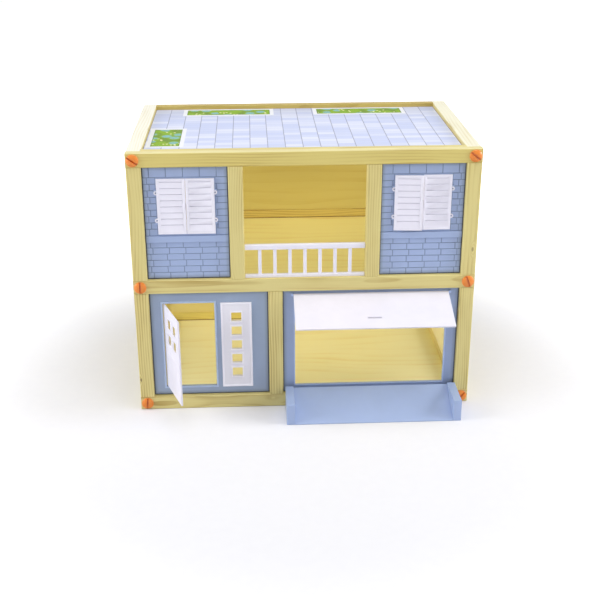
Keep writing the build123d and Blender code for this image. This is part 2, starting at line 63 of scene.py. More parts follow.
# Light: a lamp overhead, one at each side that shines into the open rooms, and a weak one behind
lamps = {  # place, width and power
    "overhead": (Vector((0.0, -0.4, 2.3)), 1.8, 22.0),
    "left": (Vector((-2.0, -0.4, 0.9)), 1.2, 27.0),
    "right": (Vector((2.0, -0.4, 0.9)), 1.2, 29.0),
    "back": (Vector((0.0, 2.2, 0.2)), 0.6, 14.0),
}
lamp_aim = Vector((0, 0.15, 0.24))
world_level = 0.36
world_tint = (0.97, 0.98, 1.0, 1.0)
background_white = (1.0, 1.0, 1.0, 1.0)
background_rays = ("Camera", "Glossy", "Transmission")
floor_size = 12.0
floor_drop = 0.0003
floor_glow = 0.07  # added on the background's rays, so that the floor is white
floor_near = 0.42  # from here outwards the floor fades to plain white
floor_far = 1.25
paper_grain = 60.0

# Colours, as sRGB bytes
pine_early = (222, 208, 140)
pine_late = (174, 144, 69)
# Pine tones of some bars: the wood's own, and paler or darker copies that are painted light or shade
bar_tones_and_painted_light = {
    "front_top_rail": ((219, 202, 122), (174, 142, 62)),
    # painted light: a paler copy of the pine for the bar inside the garage
    "base_tray_right_bar": ((244, 229, 162), (210, 176, 98)),
    "base_tray_back_rail": ((236, 216, 120), (198, 164, 76)),
    "floor_tray_back_rail": ((222, 198, 108), (174, 137, 60)),
    # painted shade: a darker copy of the pine for the shaded inner face of the roof's back rail
    "roof_tray_back_rail": ((192, 171, 96), (146, 116, 52)),
}
# Paler grain on the tops of these bars: a painted highlight where the light from above falls
highlit_tops = {
    "front_top_rail": ((230, 220, 162), (194, 168, 98)),
    "roof_tray_left_bar": ((250, 247, 232), (226, 214, 170)),
    "roof_tray_right_bar": ((244, 240, 215), (214, 200, 150)),
}
plywood_tones_and_painted_shade = {
    "floor_tray_board": ((252, 240, 164), (236, 210, 120)),
    "base_tray_board": ((253, 245, 190), (240, 220, 142)),
    "back_panel_lower": ((239, 220, 142), (220, 190, 102)),
    # painted shade: darker, as where the roof shades the upper back wall
    "back_panel_upper": ((221, 202, 116), (208, 181, 92)),
}
beech_pale = (214, 182, 134)
beech_dark = (186, 150, 104)
knot_brown = (92, 58, 30)
# painted shadow, in the joints of the back rails and along the edges of the roof print
shadow_brown = (126, 84, 34)
blue_plastic = (157, 175, 213)
door_blue = (156, 173, 201)
# painted light: a paler copy of the blue, against the shade on the recessed brick panels
brick_blue_lit = (162, 180, 218)
ramp_blue = (165, 184, 223)
white_plastic = (239, 237, 249)
# painted shade: a darker copy of the white for the door and the flap, which catch more light
door_white_shaded = (231, 229, 242)
# painted light: a paler copy of the white for the side window, which stands in the rail's shade
sidelight_white_lit = (247, 245, 254)
orange_plastic = (232, 134, 46)
paver_pale = (233, 236, 251)
paver_blue = (205, 213, 242)
paver_grey = (212, 215, 230)
paver_joint = (138, 140, 168)
paver_shade = (186, 188, 204)
bed_border = (240, 241, 246)
bed_ground = (142, 180, 50)
bed_shrub = (138, 190, 190)
bed_shade = (104, 132, 58)
bed_flower = (246, 238, 186)
floor_pale = (228, 228, 232)
floor_grey = (224, 224, 229)

# Wood, with the scales of its noises along and across the fibres
pine_ring = 0.0046  # width of a ring
plywood_ring = 0.016
beech_ring = 0.004
pine_wander = 0.03  # how far the rings leave true circles
plywood_wander = 0.06
plain_figure = 0.45  # share of the late wood in the grain
strong_figure = 0.75
plywood_figure = 0.4
strongly_figured = (
    "front_bottom_rail", "front_post_lower", "front_stile_lower_left", "front_stile_lower_right",
)
pith_reach = (0.024, 0.05)  # from the middle of a bar to its pith
plywood_pith = (0.25, 0.3)  # behind and above the middle of a board
seed_scale = (73.1, 119.7)  # of the pith's place, so that no two bars are alike
drift_scale = (3.4, 8.0)
bend_scale = (2.6, 8.0)
ripple_scale = (11.0, 60.0)
fibre_scale = (14.0, 700.0)
patch_scale = (6.0, 30.0)
ripple_share = 0.05  # of the wander
ring_jitter = 0.25  # of a ring
late_start = (0.3, 0.92)  # late wood darkens over this part of a ring
late_end = (0.93, 1.0)  # and stops over this one
late_patches = (1.6, 0.25)  # contrast of the patches in the late wood, and what is taken off
fibre_share = 0.45
patch_share = 0.62
patch_level = 0.36
wood_roughness = 0.52
wood_unevenness = 0.12  # of the roughness
wood_bump = (0.12, 0.0004)  # strength and height
line_height = 0.5  # of the late wood, beside the fibres
bar_knots = {  # place along and across the bar, radius, and how dark it is
    "front_stile_lower_left": ((0.060, -0.2975, 0.0020, 0.8),),
    "front_post_upper_left": ((0.272, -0.1235, 0.0060, 0.0),),
    "front_bottom_rail": ((-0.058, 0.012, 0.0050, 0.0),),
    "front_stile_upper_right": ((0.300, 0.2925, 0.0024, 0.5),),
}
knot_stretch = 2.4  # length of a knot for its width
knot_reach = 3.2  # the rings bend round it as far as this many radii
knot_bend = 2.6  # by this many rings
knot_heart = 0.45  # share of the radius that is darkest
top_highlight_depth = 0.002  # how far down from the top a bar gets its painted highlight
# Back rails with painted shadow in their joints with the board
joint_shadowed_rails = ("floor_tray_back_rail", "base_tray_back_rail")
joint_shadow_foot = (0.0006, 0.0026)  # painted shadow in the joint under a rail fades out between these heights
joint_shadow_head = (0.0002, 0.0012)  # and the weaker painted shadow along its top
joint_shadow_head_share = 0.45
joint_shadow_depth = 0.002  # both stay on the face that looks into the room

# Plastic
plastic_flow = 14.0  # scales of the flow marks, the scuffs and the skin
plastic_scuff = 70.0
plastic_skin = 900.0
flow_share = 0.7  # of the flow marks in the tone, beside the scuffs
flow_range = (0.3, 0.7)
flow_tones = (0.96, 1.02)  # darkest and lightest, for the colour
# Tones of the painted shade, the painted highlight and the painted shadow in a gap, for the colour
shade_tone = 0.4
highlight_tone = 1.35
gap_shadow_tone = 0.12
patchy = (0.75, 0.5)  # least share and spread of what comes and goes over a surface
# least share of the painted highlight on a bead
highlight_least = 0.4
# Strengths of the painted shade in the mortar, in the side window's sunken field, and round a bay
mortar_shade = 0.6
field_shade = 0.12
bay_edge_shade = 0.5
bay_shade = 0.009  # painted shade along the edges of a bay reaches so far
bay_gap_shadow = (0.0015, 0.0028)  # and the painted shadow in the gap round it
bay_gap_shadow_share = 0.85
blue_roughness = 0.36
white_roughness = 0.42
screw_roughness = 0.3
plastic_unevenness = 0.16  # of the roughness
plastic_bump = (0.05, 0.0003)  # strength and height

# Roof print
paver_width = 0.0305
paver_depth = 0.0165
paver_joint_width = 0.0013
upright_joint = 0.8  # how dark the joints are
level_joint = 0.16
paver_tints = (0.2, 1.0)
pale_share = 0.8
paver_streak = (26.0, 330.0)  # scale along and across
streak_shift = 7.7  # from stone to stone
streak_range = (0.42, 0.75)
streak_share = 0.3
back_rail_shade = (0.24, 0.36)  # painted shade on the stones, towards the back rail
back_rail_shade_share = 0.45
print_edge_shadow = 0.0009  # painted shadow along the edges of the sheet, beside the rails
print_edge_shadow_share = 0.75
print_grain = 800.0
print_roughness = 0.64
print_unevenness = 0.1
print_bump = (0.04, 0.0002)
bed_frame = 0.0075  # white border round a bed
bed_line = 0.0018  # dark line inside it
bed_line_share = 0.7
beds = (
    ((-0.212, -0.052), (0.302, 0.343)),
    ((0.040, 0.205), (0.302, 0.343)),
    ((-0.264, -0.214), (0.066, 0.186)),
)
shrub_scale = 46.0
shrub_level = 0.62  # cells over this level have a round shrub
shrub_edge = (0.5, 0.3)
shrub_shadow = (0.35, 0.75)
shadow_share = 0.7
leaf_scale = 420.0
leaf_range = (0.5, 0.75)
leaf_share = 0.45
bloom_scale = 150.0
bloom_level = 0.6  # cells over this level have a flower
bloom_ground = 0.3  # where the cell of the shrubs is under this one
bloom_radius = 0.34

# Modelling
same_place = 0.00001  # places nearer than this count as one
least_edge = 0.000002  # shorter edges are dissolved
aligned = 0.9  # a direction with this share of an axis runs along it
leaning = 0.1  # and with less than this runs across it
ease_angle = math.radians(32)  # sharper edges are rounded
smooth_angle = math.radians(50)  # flatter edges are shaded smooth
moulded_ease = 0.0003  # rounding of a moulded edge
louvre_ease = 0.0002
railing_ease = 0.0005
screw_ease = 0.00025
pin_sides = 16
ring_sides = 28
screw_sides = 48
to_front = (math.pi / 2, 0, 0)  # turn of an upright rod
to_side = (0, math.pi / 2, 0)

# Plastic panels in the bays of the front frame
panel_recess = 0.008  # behind the face of the frame
panel_thick = 0.005
panel_gap = 0.0008  # round a panel in its bay
tongue_depth = 0.0035  # into the grooves of the frame
tongue_thick = 0.0026

# Brick relief, windows and sills
brick_pitch = 0.0284
course_pitch = 0.0114
first_joint = 0.012  # from the stile
bond_shift = 0.004  # joints of every other course nearer to the stile
mortar_width = 0.0009
mortar_depth = 0.0008
brick_slope = 0.00025  # how far the side of a brick leans back
least_brick = 0.003
least_course = 0.008  # no thinner course is laid under a rail
window_side = 0.09
window_border = 0.005  # plain face round a window
sill_height = 0.012
sill_drop = 0.008  # top of the sill below the window
sill_rise = 0.0025
sill_round = 0.0010

# Shutters
leaf_width = 0.0488
leaf_height = 0.098
leaf_thick = 0.003
leaf_rim = 0.0028
meeting_slope = 0.0008  # front edge of a leaf where it meets the other
rim_step = 0.0004
louvre_border = 0.0026
louvre_count = 8
groove_depth = 0.0022  # between the slats
slat_gap = 0.0008  # half a groove
slat_slant = 0.0008  # upper edge of a slat behind its lower edge
latch_width = 0.003
latch_height = 0.011
latch_rise = 0.0022
latch_edge = 0.0008
hinge_edge = 0.0024  # from the hinge axis to the leaf
hinge_spacing = 0.049
hinge_pin_radius = 0.0008
lug_height = 0.007
lug_thick = 0.0036
ear_gap = 0.0003
ear_height = 0.0022
ring_reach = 0.0013  # middle of a hinge ring from the hinge axis
ring_radius = 0.0035
ring_hole = 0.0016
ring_thick = 0.0033
shutter_ajar = math.radians(5)  # the right window's inner leaf

# Front door and its side window
doorway_x = (-0.252, -0.161)
doorway_z = (0.042, 0.206)
bead_width = 0.0040
bead_rise = 0.0014
bead_slope = 0.0010
door_width = 0.0865
door_thick = 0.003
door_gap = 0.0018
door_pin_radius = 0.0012
door_pin_length = 0.004
door_ajar = math.radians(70)
door_nose = 0.0013  # rounding of the hinged edge
pane_width = 0.018
pane_height = 0.0175
door_pane_splay = 0.0025
door_pane_gap = 0.012
door_pane_pitch = 0.030
door_pane_top = 0.019
door_field_margin = 0.014
door_field_drop = 0.0187
door_field_rise = 0.0007
field_slope = 0.0009
sidelight_border = 0.003
sidelight_rise = 0.0012
sidelight_pane_count = 5
sidelight_pane_top = 0.019
sidelight_pane_foot = 0.0207
sidelight_pane_rim = 0.002
spigot_wall = 0.0025

# Garage door and ramp
garage_x = (-0.018, 0.253)
garage_z = (0.039, 0.219)
garage_bead_width = 0.0022
garage_bead_rise = 0.0006
flap_overlap = 0.0025
flap_length = 0.09
flap_thick = 0.003
flap_nose = 0.0014
flap_pin_radius = 0.0013
flap_pin_length = 0.004
flap_ear_radius = 0.0024
flap_ear_width = 0.004
flap_end_gap = 0.0004
flap_ajar = math.radians(70)
slit_width = 0.024
slit_height = 0.003
slit_drop = 0.065
slit_rim = 0.001
slit_rise = 0.0002
curb_width = 0.0145
curb_rise = 0.003
curb_ease = 0.0009
ramp_toe = 0.0015
ramp_wall = 0.0035
ramp_hook_height = 0.005

# Balcony railing
railing_gap = 0.0004
handrail_height = 0.010
handrail_depth = 0.008
handrail_round = 0.0022
foot_height = 0.006
foot_depth = 0.007
baluster_count = 7
baluster_width = 0.006
baluster_depth = 0.005

# Screws
screw_radius = 0.0105
screw_rim = 0.0022
screw_shank_radius = 0.005
screw_length = 0.045
screw_crown = ((0.0012, 0.0011), (0.0024, 0.0011), (0.0034, 0.0008))  # width and rise of each step
screw_slot_width = 0.003
screw_slot_depth = 0.0046
screw_edge = 0.012
screw_turns = {  # degrees
    ("left", "bottom"): 85,
    ("left", "middle"): 90,
    ("left", "top"): -35,
    ("right", "bottom"): 50,
    ("right", "middle"): 110,
    ("right", "top"): -38,
}

# Places that follow from the frame
frame_face = low["front_top_rail"].y
panel_y = (frame_face + panel_recess, frame_face + panel_recess + panel_thick)
upper_z = (high["front_middle_rail"].z, low["front_top_rail"].z)
lower_z = (high["front_bottom_rail"].z, low["front_middle_rail"].z)
bays = {
    "brick_panel_left": ((high["front_stile_upper_left"].x, low["front_post_upper_left"].x), upper_z),
    "brick_panel_right": ((high["front_post_upper_right"].x, low["front_stile_upper_right"].x), upper_z),
    "door_panel": ((high["front_stile_lower_left"].x, low["front_post_lower"].x), lower_z),
    "garage_panel": ((high["front_post_lower"].x, low["front_stile_lower_right"].x), lower_z),
}


def grown(pair, amount):
    return (pair[0] - amount, pair[1] + amount)


def about(middle, size):
    return (middle - size / 2, middle + size / 2)


def span(name):
    """Low and high places of a node along X, Y and Z."""
    return list(zip(low[name], high[name]))


def slot_of(name):
    return next(part["material_slot"] for part in frame["record"]["subparts"] if part["node"] == name)


def linear(colour):
    """An sRGB colour in bytes as the linear colour that a shader takes."""
    parts = [part / 255 for part in colour]
    return tuple(c / 12.92 if c <= 0.04045 else ((c + 0.055) / 1.055) ** 2.4 for c in parts) + (1.0,)


# Shader sums

class Flow:
    """One socket of a finish, on which sums are written as plain expressions."""

    def __init__(self, finish, socket):
        self.finish = finish
        self.socket = socket

    def math(self, operation, *terms):
        return self.finish.node("ShaderNodeMath", {"operation": operation}, dict(enumerate(terms)))

    def __add__(self, other):
        return self.math("ADD", self, other)

    def __sub__(self, other):
        return self.math("SUBTRACT", self, other)

    def __rsub__(self, other):
        return self.math("SUBTRACT", other, self)

    def __mul__(self, other):
        return self.math("MULTIPLY", self, other)

    def __truediv__(self, other):
        return self.math("DIVIDE", self, other)

    def __gt__(self, other):
        return self.math("GREATER_THAN", self, other)

    def __lt__(self, other):
        return self.math("LESS_THAN", self, other)

    def floor(self):
        return self.math("FLOOR", self)

    def fraction(self):
        return self.math("FRACT", self)

    def size(self):
        return self.math("ABSOLUTE", self)

    def root(self):
        return self.math("SQRT", self)

    def least(self, other):
        return self.math("MINIMUM", self, other)

    __radd__ = __add__
    __rmul__ = __mul__


class Finish:
    """The nodes of a material or of the world, added one after the other."""

    def __init__(self, owner):
        owner.use_nodes = True
        self.owner = owner
        self.tree = owner.node_tree

    def node(self, kind, settings=None, inputs=None, out=0):
        made = self.tree.nodes.new(kind)
        for name, value in (settings or {}).items():
            setattr(made, name, value)
        for name, value in (inputs or {}).items():
            self.feed(made.inputs[name], value)
        return Flow(self, made.outputs[out])

    def feed(self, socket, value):
        if isinstance(value, Flow):
            self.tree.links.new(value.socket, socket)
        else:
            socket.default_value = value

    def place(self):
        return self.node("ShaderNodeTexCoord", out="Object")

    def axes(self, vector):
        split = self.node("ShaderNodeSeparateXYZ", inputs={"Vector": vector}).socket.node
        return [Flow(self, split.outputs[axis]) for axis in "XYZ"]

    def vector(self, x, y, z):
        return self.node("ShaderNodeCombineXYZ", inputs={"X": x, "Y": y, "Z": z})

    def mix(self, factor, first, second):
        return self.node("ShaderNodeMix", {"data_type": "RGBA"}, {0: factor, 6: first, 7: second}, out=2)

    def noise(self, vector, scale, detail):
        inputs = {"Vector": vector, "Scale": scale, "Detail": detail}
        return self.node("ShaderNodeTexNoise", inputs=inputs)

    def ramp(self, value, start, end, to_start=0.0, to_end=1.0):
        settings = {"interpolation_type": "SMOOTHSTEP"}
        inputs = {"Value": value, "From Min": start, "From Max": end, "To Min": to_start, "To Max": to_end}
        return self.node("ShaderNodeMapRange", settings, inputs)

    def bump(self, height, strength, distance):
        inputs = {"Height": height, "Strength": strength, "Distance": distance}
        return self.node("ShaderNodeBump", inputs=inputs, out="Normal")

    def on_background_rays(self):
        rays = sum(self.node("ShaderNodeLightPath", out=f"Is {kind} Ray") for kind in background_rays)
        return rays.least(1)

    def surface(self, **values):
        """Feeds a material's shader: the words of a socket's name are joined by underscores."""
        shader = self.tree.nodes["Principled BSDF"]
        for name, value in values.items():
            self.feed(shader.inputs[name.replace("_", " ").title().replace("Ior", "IOR")], value)
        return self.owner


# Finishes

def wood(name, along, pith, ring, tones, figure=plain_figure, wander=pine_wander, knots=(), joint_shadows=None,
         top_highlight=None):
    """Sawn wood: rings round a pith along one axis, fibres, knots, painted joint shadows, a painted top highlight.
    """
    finish = Finish(bpy.data.materials.new(name))
    x, y, z = finish.axes(finish.place())
    length, across, rise = {"X": (x, y, z), "Y": (y, x, z), "Z": (z, x, y)}[along]
    sideways = z if along == "X" else x
    seed = pith[0] * seed_scale[0] + pith[1] * seed_scale[1]

    def streaks(scale, detail, shift=0.0):
        place = finish.vector(length * scale[0] + shift, across * scale[1], rise * scale[1])
        return finish.noise(place, 1.0, detail)

    drift = streaks(drift_scale, 1.0, seed)
    bend = streaks(bend_scale, 1.0, -seed)
    ripple = streaks(ripple_scale, 2.0, seed)
    fibre = streaks(fibre_scale, 3.0)
    patch = streaks(patch_scale, 2.0, seed)
    side = across - pith[0] + (drift - 0.5) * wander
    above = rise - pith[1] + (bend - 0.5) * wander + (ripple - 0.5) * (wander * ripple_share)
    core = 0
    for place, width, size, depth in knots:
        near = finish.vector((length - place) / (size * knot_stretch), (sideways - width) / size, 0)
        away = finish.node("ShaderNodeVectorMath", {"operation": "LENGTH"}, {0: near}, out="Value")
        above = above + finish.ramp(away, 0.0, knot_reach, ring * knot_bend, 0.0)
        core = finish.ramp(away, knot_heart, 1.0, depth, 0.0) + core
    rings = (side * side + above * above).root() / ring
    turn = (rings + (ripple - 0.5) * ring_jitter).fraction()
    line = finish.ramp(turn, *late_start) * finish.ramp(turn, *late_end, 1.0, 0.0)
    late = line * (patch * late_patches[0] - late_patches[1]) * figure
    share = late + (fibre - 0.5) * fibre_share + (patch - patch_level) * patch_share
    grain = finish.ramp(share, 0.0, 1.0)
    colour = finish.mix(grain, linear(tones[0]), linear(tones[1]))
    # Painted highlight: paler grain over the top of the bar
    if top_highlight:
        top, pale, dark = top_highlight
        highlit_grain = finish.mix(grain, linear(pale), linear(dark))
        colour = finish.mix(finish.ramp(z, top - top_highlight_depth, top), colour, highlit_grain)
    if knots:
        colour = finish.mix(core * (patchy[0] + fibre * patchy[1]), colour, linear(knot_brown))
    # Painted shadow in the joints under and over a back rail, on its face into the room
    if joint_shadows:
        board_top, rail_top, face = joint_shadows
        foot = finish.ramp(z - board_top, *joint_shadow_foot, 1.0, 0.0)
        head = finish.ramp(rail_top - z, *joint_shadow_head, joint_shadow_head_share, 0.0)
        inner = finish.ramp(y, face, face + joint_shadow_depth, 1.0, 0.0)
        colour = finish.mix((foot + head) * inner, colour, linear(shadow_brown))
    roughness = wood_roughness + (fibre - 0.5) * wood_unevenness
    height = line * (figure * line_height) + fibre
    return finish.surface(base_color=colour, roughness=roughness, specular_ior_level=0.35,
                          normal=finish.bump(height, *wood_bump), coat_weight=0.06, coat_roughness=0.35)


def moulded(name, colour, roughness=blue_roughness, recess=None, recess_shade=mortar_shade, bay=None, bead_highlight=None):
    """Moulded plastic: flow marks, scuffs, painted shade in a recess and round a bay, and a painted highlight on a
    bead.
    """
    finish = Finish(bpy.data.materials.new(name))
    place = finish.place()
    x, y, z = finish.axes(place)
    flow = finish.noise(place, plastic_flow, 2.0)
    scuff = finish.noise(place, plastic_scuff, 4.0)
    skin = finish.noise(place, plastic_skin, 3.0)

    def shade(amount):
        return (*(Vector(linear(colour)[:3]) * amount), 1.0)

    marks = finish.ramp(flow * flow_share + scuff * (1 - flow_share), *flow_range)
    tone = finish.mix(marks, *(shade(amount) for amount in flow_tones))
    # Painted shade in a recess, mottled by the scuffs
    if recess:
        recess_shading = finish.ramp(y, *recess) * (patchy[0] + scuff * patchy[1]) * recess_shade
        tone = finish.mix(recess_shading, tone, shade(shade_tone))
    # Painted highlight over the front of a bead, mottled by the scuffs
    if bead_highlight:
        lit_bead = finish.ramp(y, *bead_highlight, 1.0, 0.0) * (highlight_least + scuff)
        tone = finish.mix(lit_bead, tone, shade(highlight_tone))
    # Painted shade along the edges of a bay, and a darker painted shadow in the gap round the panel
    if bay:
        (left, right), (foot, head) = bay
        inward = (x - left).least(right - x).least(z - foot).least(head - z)
        tone = finish.mix(finish.ramp(inward, panel_gap, bay_shade, bay_edge_shade, 0.0), tone, shade(shade_tone))
        tone = finish.mix(finish.ramp(inward, *bay_gap_shadow, bay_gap_shadow_share, 0.0), tone, shade(gap_shadow_tone))
    return finish.surface(base_color=tone, roughness=roughness + (scuff - 0.5) * plastic_unevenness,
                          normal=finish.bump(skin, *plastic_bump), coat_weight=0.1, coat_roughness=0.2)


def planting(finish, x, y):
    """The colour inside a bed: round shrubs, leaves and flowers on green ground."""
    def cells(scale):
        settings = {"voronoi_dimensions": "2D"}
        inputs = {"Vector": finish.vector(x, y, 0), "Scale": scale}
        away = finish.node("ShaderNodeTexVoronoi", settings, inputs, out="Distance")
        level = finish.node("ShaderNodeTexVoronoi", settings, inputs, out="Color")
        return away, finish.axes(level)[0]

    from_shrub, shrub = cells(shrub_scale)
    from_bloom, bloom = cells(bloom_scale)
    leaves = finish.noise(finish.place(), leaf_scale, 2.0)
    round_shrub = (shrub > shrub_level) * finish.ramp(from_shrub, *shrub_edge)
    flower = (from_bloom < bloom_radius) * (bloom > bloom_level) * (shrub < bloom_ground)
    colour = finish.mix(round_shrub, linear(bed_ground), linear(bed_shrub))
    colour = finish.mix(finish.ramp(from_shrub, *shrub_shadow) * shadow_share, colour, linear(bed_shade))
    colour = finish.mix(finish.ramp(leaves, *leaf_range) * leaf_share, colour, linear(bed_shade))
    return finish.mix(flower, colour, linear(bed_flower))


def paving(name):
    """The printed roof: rows of paving stones, and planted beds with a white border."""
    finish = Finish(bpy.data.materials.new(name))
    place = finish.place()
    x, y, _ = finish.axes(place)
    columns = (x - low["roof_print"].x) / paver_width
    rows = (y - low["roof_print"].y) / paver_depth
    cell = {"Vector": finish.vector(columns.floor(), rows.floor(), 0)}
    tint = finish.node("ShaderNodeTexWhiteNoise", {"noise_dimensions": "2D"}, cell, out="Value")
    streak_x = x * paver_streak[0] + columns.floor() * streak_shift
    streak = finish.noise(finish.vector(streak_x, y * paver_streak[1], 0), 1.0, 2.0)
    stone = finish.mix(finish.ramp(tint, *paver_tints) * pale_share, linear(paver_blue), linear(paver_pale))
    stone = finish.mix(finish.ramp(streak, *streak_range) * streak_share, stone, linear(paver_grey))
    # Painted shade on the stones near the back rail
    stone = finish.mix(finish.ramp(y, *back_rail_shade) * back_rail_shade_share, stone, linear(paver_shade))
    upright = (columns.fraction() - 0.5).size() > 0.5 - paver_joint_width / paver_width / 2
    level = (rows.fraction() - 0.5).size() > 0.5 - paver_joint_width / paver_depth / 2
    joints = upright * upright_joint + (1 - upright) * level * level_joint
    ground = finish.mix(joints, stone, linear(paver_joint))

    def covers(span_x, span_y):
        return (x > span_x[0]) * (x < span_x[1]) * (y > span_y[0]) * (y < span_y[1])

    def in_beds(margin):
        return sum(covers(grown(bed_x, margin), grown(bed_y, margin)) for bed_x, bed_y in beds)

    plants = finish.mix((1 - in_beds(-bed_line)) * bed_line_share, planting(finish, x, y), linear(bed_shade))
    colour = finish.mix(in_beds(bed_frame), ground, linear(bed_border))
    colour = finish.mix(in_beds(0), colour, plants)
    # Painted shadow along the edges of the sheet
    sheet = [grown(pair, -print_edge_shadow) for pair in span("roof_print")[:2]]
    colour = finish.mix((1 - covers(*sheet)) * print_edge_shadow_share, colour, linear(shadow_brown))
    roughness = print_roughness + (streak - 0.5) * print_unevenness
    grain = finish.noise(place, print_grain, 2.0)
    return finish.surface(base_color=colour, roughness=roughness, specular_ior_level=0.25,
                          normal=finish.bump(grain, *print_bump))


# Wooden pieces and the roof print keep the solids of the frame

def timber(name):
    """The finish of one wooden node: its grain runs along it, round a pith of its own."""
    middle = (low[name] + high[name]) / 2
    size = high[name] - low[name]
    slot = slot_of(name)
    if slot == "plywood":
        tones = plywood_tones_and_painted_shade.get(name, plywood_tones_and_painted_shade["floor_tray_board"])
        pith = (middle.y + plywood_pith[0], middle.z + plywood_pith[1])
        return wood("plywood_" + name, "X", pith, plywood_ring, tones, plywood_figure, plywood_wander)
    along = "XYZ"[max(range(3), key=lambda axis: size[axis])]
    across, rise = (middle[axis] for axis in range(3) if "XYZ"[axis] != along)
    angle = random.uniform(0, math.tau)
    reach = random.uniform(*pith_reach)
    pith = (across + reach * math.cos(angle), rise + reach * math.sin(angle))
    if slot == "dowel_beech":
        return wood("beech_" + name, "Z", pith, beech_ring, (beech_pale, beech_dark))
    tones = bar_tones_and_painted_light.get(name, (pine_early, pine_late))
    figure = strong_figure if name in strongly_figured else plain_figure
    joint_shadows = None
    if name in joint_shadowed_rails:
        joint_shadows = (high[name.replace("back_rail", "board")].z, high[name].z, low[name].y)
    top_highlight = (high[name].z, *highlit_tops[name]) if name in highlit_tops else None
    return wood("pine_" + name, along, pith, pine_ring, tones, figure, knots=bar_knots.get(name, ()),
                joint_shadows=joint_shadows, top_highlight=top_highlight)


def finish_solids():
    for name, node in nodes.items():
        if slot_of(name) in ("pine", "plywood", "dowel_beech"):
            material = timber(name)
        elif name == "roof_print":
            material = paving("printed_roof")
        else:
            continue
        for part in node.material_slots:
            part.material = material


# Modelling: a primitive is added, shaped in edit mode and finished with modifiers

def block(x, y, z):
    """A block between three pairs of places: a new piece, or in the mesh that is being edited."""
    spans = (x, y, z)
    middle = [sum(pair) / 2 for pair in spans]
    bpy.ops.mesh.primitive_cube_add(size=1, location=middle, scale=[pair[1] - pair[0] for pair in spans])


def rod(place, radius, length, turn=(0, 0, 0), sides=pin_sides):
    """A round rod, along Z before it is turned: a new piece, or in the mesh that is being edited."""
    bpy.ops.mesh.primitive_cylinder_add(vertices=sides, radius=radius, depth=length, location=place,
                                        rotation=turn)


def in_edit_mode(name):
    """Names the piece that was just added, keeps its place in its mesh and opens it for editing."""
    piece = bpy.context.object
    piece.name = name
    bpy.ops.object.transform_apply(location=True, rotation=True, scale=True)
    bpy.ops.object.mode_set(mode="EDIT")
    return piece


def slab(name, x, y, z):
    """A new block, alone in the selection, in edit mode."""
    bpy.ops.object.select_all(action="DESELECT")
    block(x, y, z)
    return in_edit_mode(name)


def pick(test, kind="FACE"):
    """Selects the faces, edges or corners whose place, and normal or direction, pass a test; counts them."""
    bpy.ops.mesh.select_mode(type=kind)
    bpy.ops.mesh.select_all(action="DESELECT")
    mesh = bmesh.from_edit_mesh(bpy.context.object.data)
    if kind == "FACE":
        found = [face for face in mesh.faces if test(face.calc_center_median(), face.normal)]
    elif kind == "EDGE":
        ends = {edge: [corner.co for corner in edge.verts] for edge in mesh.edges}
        found = [edge for edge, (a, b) in ends.items() if test((a + b) / 2, (b - a).normalized())]
    else:
        found = [corner for corner in mesh.verts if test(corner.co, corner.normal)]
    for element in found:
        element.select_set(True)
    bmesh.update_edit_mesh(bpy.context.object.data)
    return len(found)


def inside(place, x, z):
    return x[0] < place.x < x[1] and z[0] < place.z < z[1]


def facing(x, z, side=-1):
    """A test for the faces in a rectangle that look to the front (-1), to the back (1) or either way (0)."""
    def test(middle, normal):
        looks = abs(normal.y) > aligned and (side == 0 or normal.y * side > 0)
        return looks and inside(middle, x, z)
    return test


def cut(axis, place, only=None):
    """Cuts the whole piece, or only the faces that pass a test, by a plane across an axis."""
    if only is None:
        bpy.ops.mesh.select_all(action="SELECT")
    elif pick(only) == 0:
        return
    normal = {"X": (1, 0, 0), "Y": (0, 1, 0), "Z": (0, 0, 1)}[axis]
    bpy.ops.mesh.bisect(plane_co=[part * place for part in normal], plane_no=normal)


def cut_round(x, z, only=None):
    for axis, places in (("X", x), ("Z", z)):
        for place in places:
            cut(axis, place, only)


def lift(height):
    """Extrudes the selected faces along their normals, as one region."""
    move = {"value": height, "use_even_offset": True}
    bpy.ops.mesh.extrude_region_shrink_fatten(TRANSFORM_OT_shrink_fatten=move)


def pierce(x, z, splay=0.0):
    """An opening from front to back, which may widen towards the back."""
    cut_round(x, z)
    pick(facing(x, z, 0))
    bpy.ops.mesh.bridge_edge_loops()
    if splay:
        near_x, near_z = grown(x, same_place), grown(z, same_place)
        pick(lambda place, _: place.y > 0 and inside(place, near_x, near_z), "VERT")
        wider = (1 + 2 * splay / (x[1] - x[0]), 1, 1 + 2 * splay / (z[1] - z[0]))
        bpy.ops.transform.resize(value=wider, center_override=(sum(x) / 2, 0, sum(z) / 2))


def framed_opening(x, z, rim, rise, slope=0.0):
    """An opening from front to back with a raised rim round its front, whose outer side may slope."""
    wide, tall = grown(x, rim), grown(z, rim)
    cut_round(wide, tall)
    pick(facing(wide, tall))
    bpy.ops.mesh.inset(thickness=slope, depth=rise)
    bpy.ops.mesh.inset(thickness=rim - slope)
    pick(facing(wide, tall, 1))
    bpy.ops.mesh.inset(thickness=rim)
    pick(facing(grown(x, same_place), grown(z, same_place), 0))
    bpy.ops.mesh.bridge_edge_loops()


def round_edges(test, radius, steps):
    pick(test, "EDGE")
    bpy.ops.mesh.bevel(offset=radius, segments=steps, affect="EDGES")


def on_whole_mesh(operator, **settings):
    """Runs an edit-mode operator on all of a piece, from object mode and back."""
    bpy.ops.object.mode_set(mode="EDIT")
    bpy.ops.mesh.select_all(action="SELECT")
    operator(**settings)
    bpy.ops.object.mode_set(mode="OBJECT")


